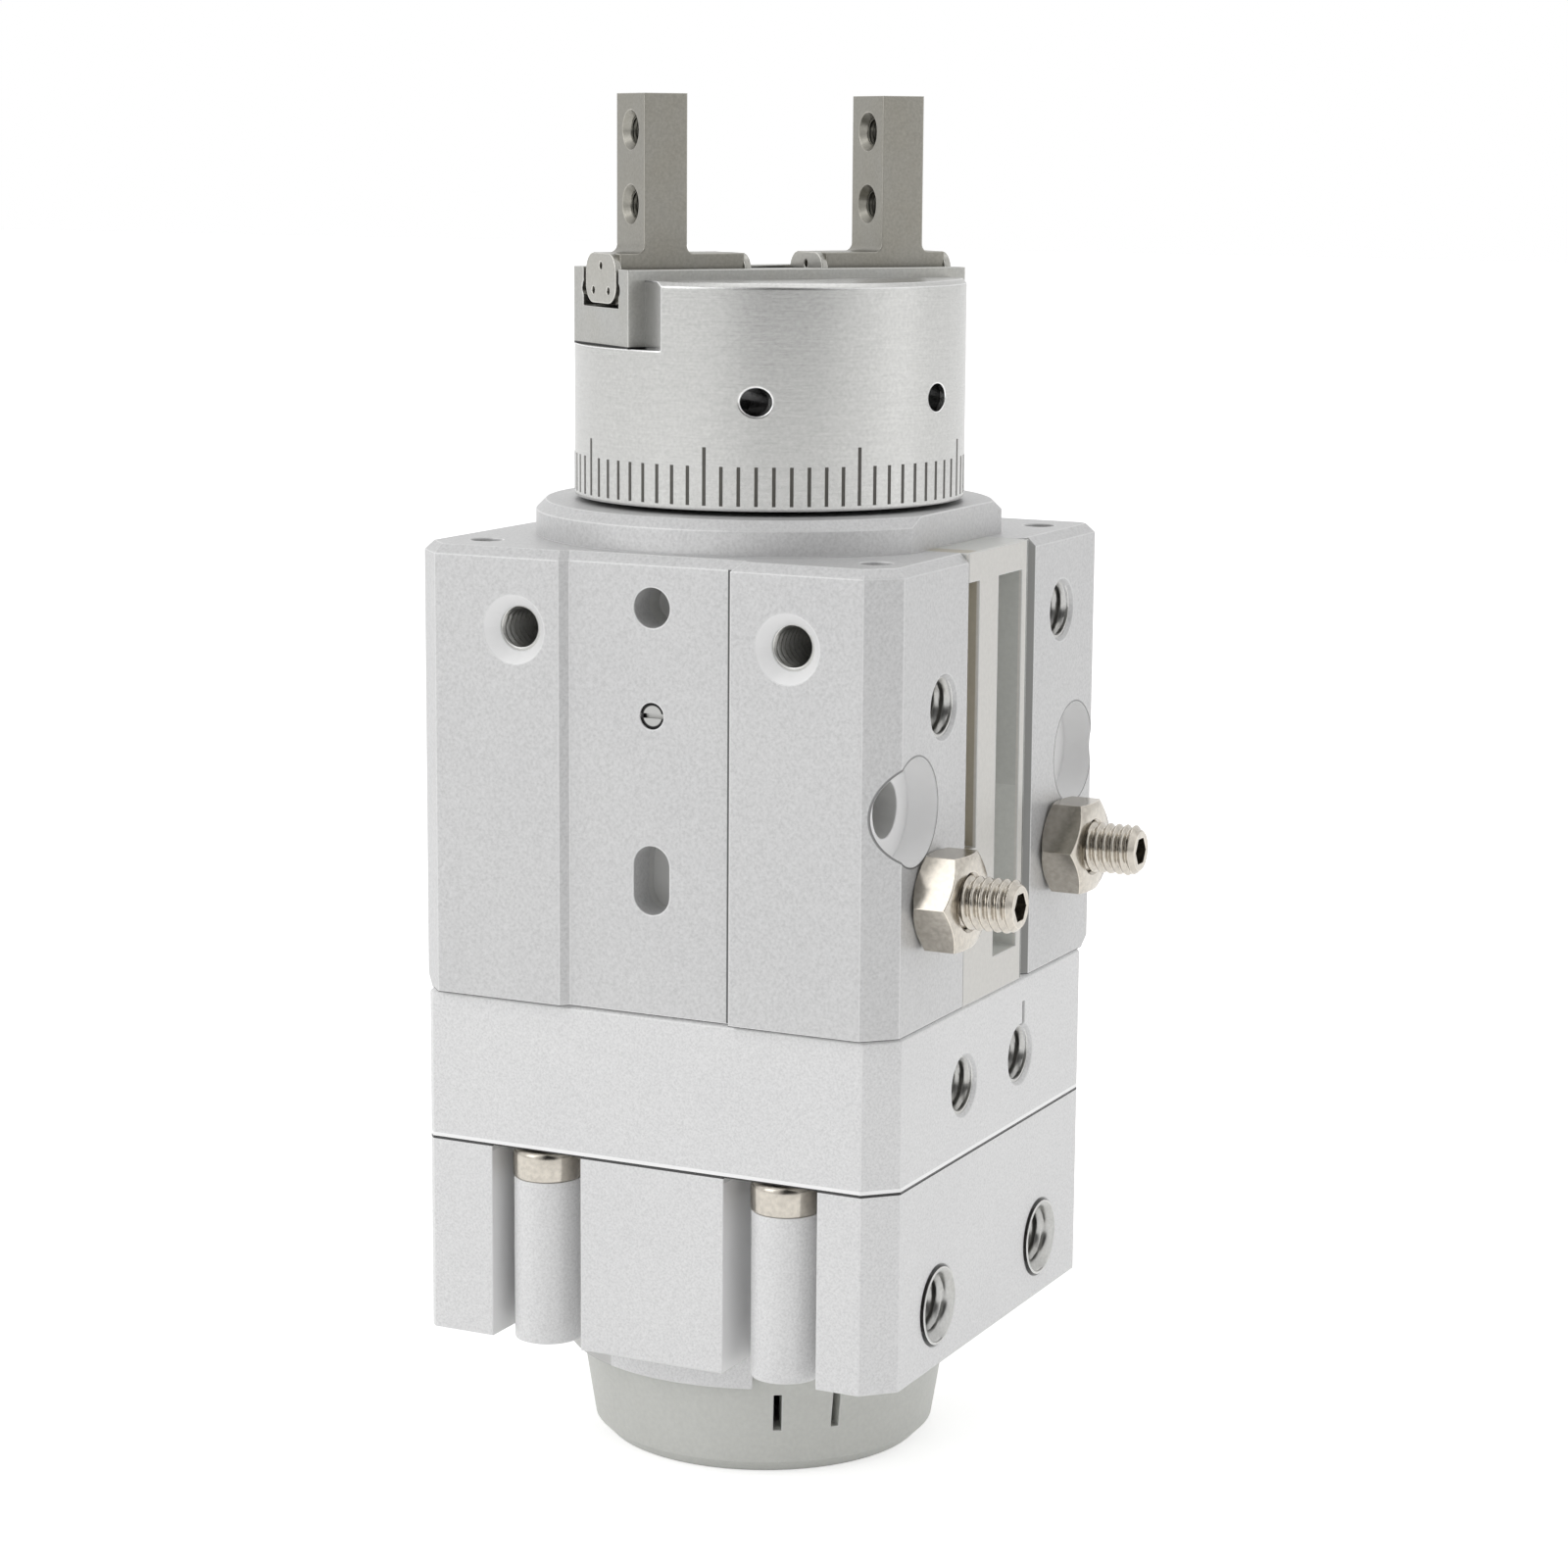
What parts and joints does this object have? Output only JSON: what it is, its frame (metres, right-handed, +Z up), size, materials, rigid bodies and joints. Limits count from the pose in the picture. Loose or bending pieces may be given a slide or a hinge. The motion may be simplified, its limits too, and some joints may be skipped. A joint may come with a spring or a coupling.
{
  "type": "rotary gripper",
  "caption": "Pneumatic rotary gripper: a vane drive turns a round head whose air piston and bell-crank levers slide two parallel fingers.",
  "frame": {"origin": "centre of the end cap's flat underside, on the turning axis", "axes": "+Z up along the turning axis towards the fingers; -Y is the front face; +X is the side with the ports, adjusting screws and switch rail"},
  "size_m": [0.0469, 0.0401, 0.1048],
  "materials": {
    "anodised_body": "bead-blasted and clear anodised",
    "turned_head": "fine turned and clear anodised",
    "rail_plastic": "moulded, satin",
    "cap_plastic": "moulded, matte",
    "plated_fasteners": "nickel plated",
    "guide_steel": "ground stainless",
    "finger_steel": "ground stainless",
    "end_plate_plastic": "moulded",
    "bearing_steel": "polished",
    "hardened_steel": "hardened and ground",
    "bush_bronze": "sintered",
    "inner_aluminium": "machined",
    "seal_rubber": "moulded",
    "magnet": "sintered"
  },
  "bodies": {
    "root": {"vane_housing": "anodised_body", "vane_cover": "anodised_body", "port_block": "anodised_body", "upper_body": "anodised_body", "bearing_cover": "anodised_body", "switch_rail": "rail_plastic", "end_cap": "cap_plastic", "housing_bolts": "plated_fasteners", "body_bolts": "plated_fasteners", "lower_bush": "bush_bronze", "upper_bush": "bush_bronze", "stem_bush": "bush_bronze", "vane_stopper": "inner_aluminium", "shaft_seals": "seal_rubber", "lock_nuts": "plated_fasteners", "plug_screw": "plated_fasteners", "bearing_outer_ring": "bearing_steel"},
    "head": {"gripper_head": "turned_head", "finger_guide": "guide_steel", "guide_screws": "plated_fasteners", "lever_pins": "bearing_steel", "bearing_inner_ring": "bearing_steel", "bearing_balls": "bearing_steel", "vane_shaft": "hardened_steel", "vane": "inner_aluminium", "vane_seal": "seal_rubber", "stop_arm": "hardened_steel", "arm_screw": "plated_fasteners", "stem_seals": "seal_rubber", "rod_seal": "seal_rubber", "piston_cap": "inner_aluminium"},
    "piston": {"piston": "inner_aluminium", "piston_seal": "seal_rubber", "piston_magnet": "magnet", "piston_rod": "hardened_steel", "rod_nut": "plated_fasteners"},
    "left_lever": {"left_lever": "hardened_steel"},
    "right_lever": {"right_lever": "hardened_steel"},
    "left_finger": {"left_finger": "finger_steel", "left_end_plates": "end_plate_plastic", "left_guide_balls": "bearing_steel"},
    "right_finger": {"right_finger": "finger_steel", "right_end_plates": "end_plate_plastic", "right_guide_balls": "bearing_steel"},
    "front_adjust_screw": {"front_adjust_screw": "plated_fasteners"},
    "rear_adjust_screw": {"rear_adjust_screw": "plated_fasteners"}
  },
  "joints": [
    {"name": "head_rotation", "type": "hinge", "parent": "root", "child": "head", "pos_m": [0, 0, 0.0715], "axis": [0, 0, 1], "range_deg": [-52.5, 127.5]},
    {"name": "left_finger_slide", "type": "slide", "parent": "head", "child": "left_finger", "axis": [0.6088, 0.7934, 0], "range_m": [0, 0.002]},
    {"name": "right_finger_slide", "type": "slide", "parent": "head", "child": "right_finger", "axis": [-0.6088, -0.7934, 0], "range_m": [0, 0.002]},
    {"name": "left_lever_pivot", "type": "hinge", "parent": "head", "child": "left_lever", "pos_m": [-0.00457, -0.00595, 0.08255], "axis": [-0.7934, 0.6088, 0], "range_deg": [0, 14.83]},
    {"name": "right_lever_pivot", "type": "hinge", "parent": "head", "child": "right_lever", "pos_m": [0.00457, 0.00595, 0.08255], "axis": [0.7934, -0.6088, 0], "range_deg": [0, 14.83]},
    {"name": "piston_slide", "type": "slide", "parent": "head", "child": "piston", "axis": [0, 0, -1], "range_m": [0, 0.00126]},
    {"name": "front_adjust_slide", "type": "slide", "parent": "root", "child": "front_adjust_screw", "axis": [1, 0, 0], "range_m": [0, 0.0015]},
    {"name": "rear_adjust_slide", "type": "slide", "parent": "root", "child": "rear_adjust_screw", "axis": [1, 0, 0], "range_m": [0, 0.0015]}
  ],
  "couplings": [
    {"joint": "right_finger_slide", "follows": "left_finger_slide", "ratio": 1},
    {"joint": "left_lever_pivot", "follows": "left_finger_slide", "rad_per_m": 129.39},
    {"joint": "right_lever_pivot", "follows": "left_finger_slide", "rad_per_m": 129.39},
    {"joint": "piston_slide", "follows": "left_finger_slide", "ratio": 0.63226}
  ]
}
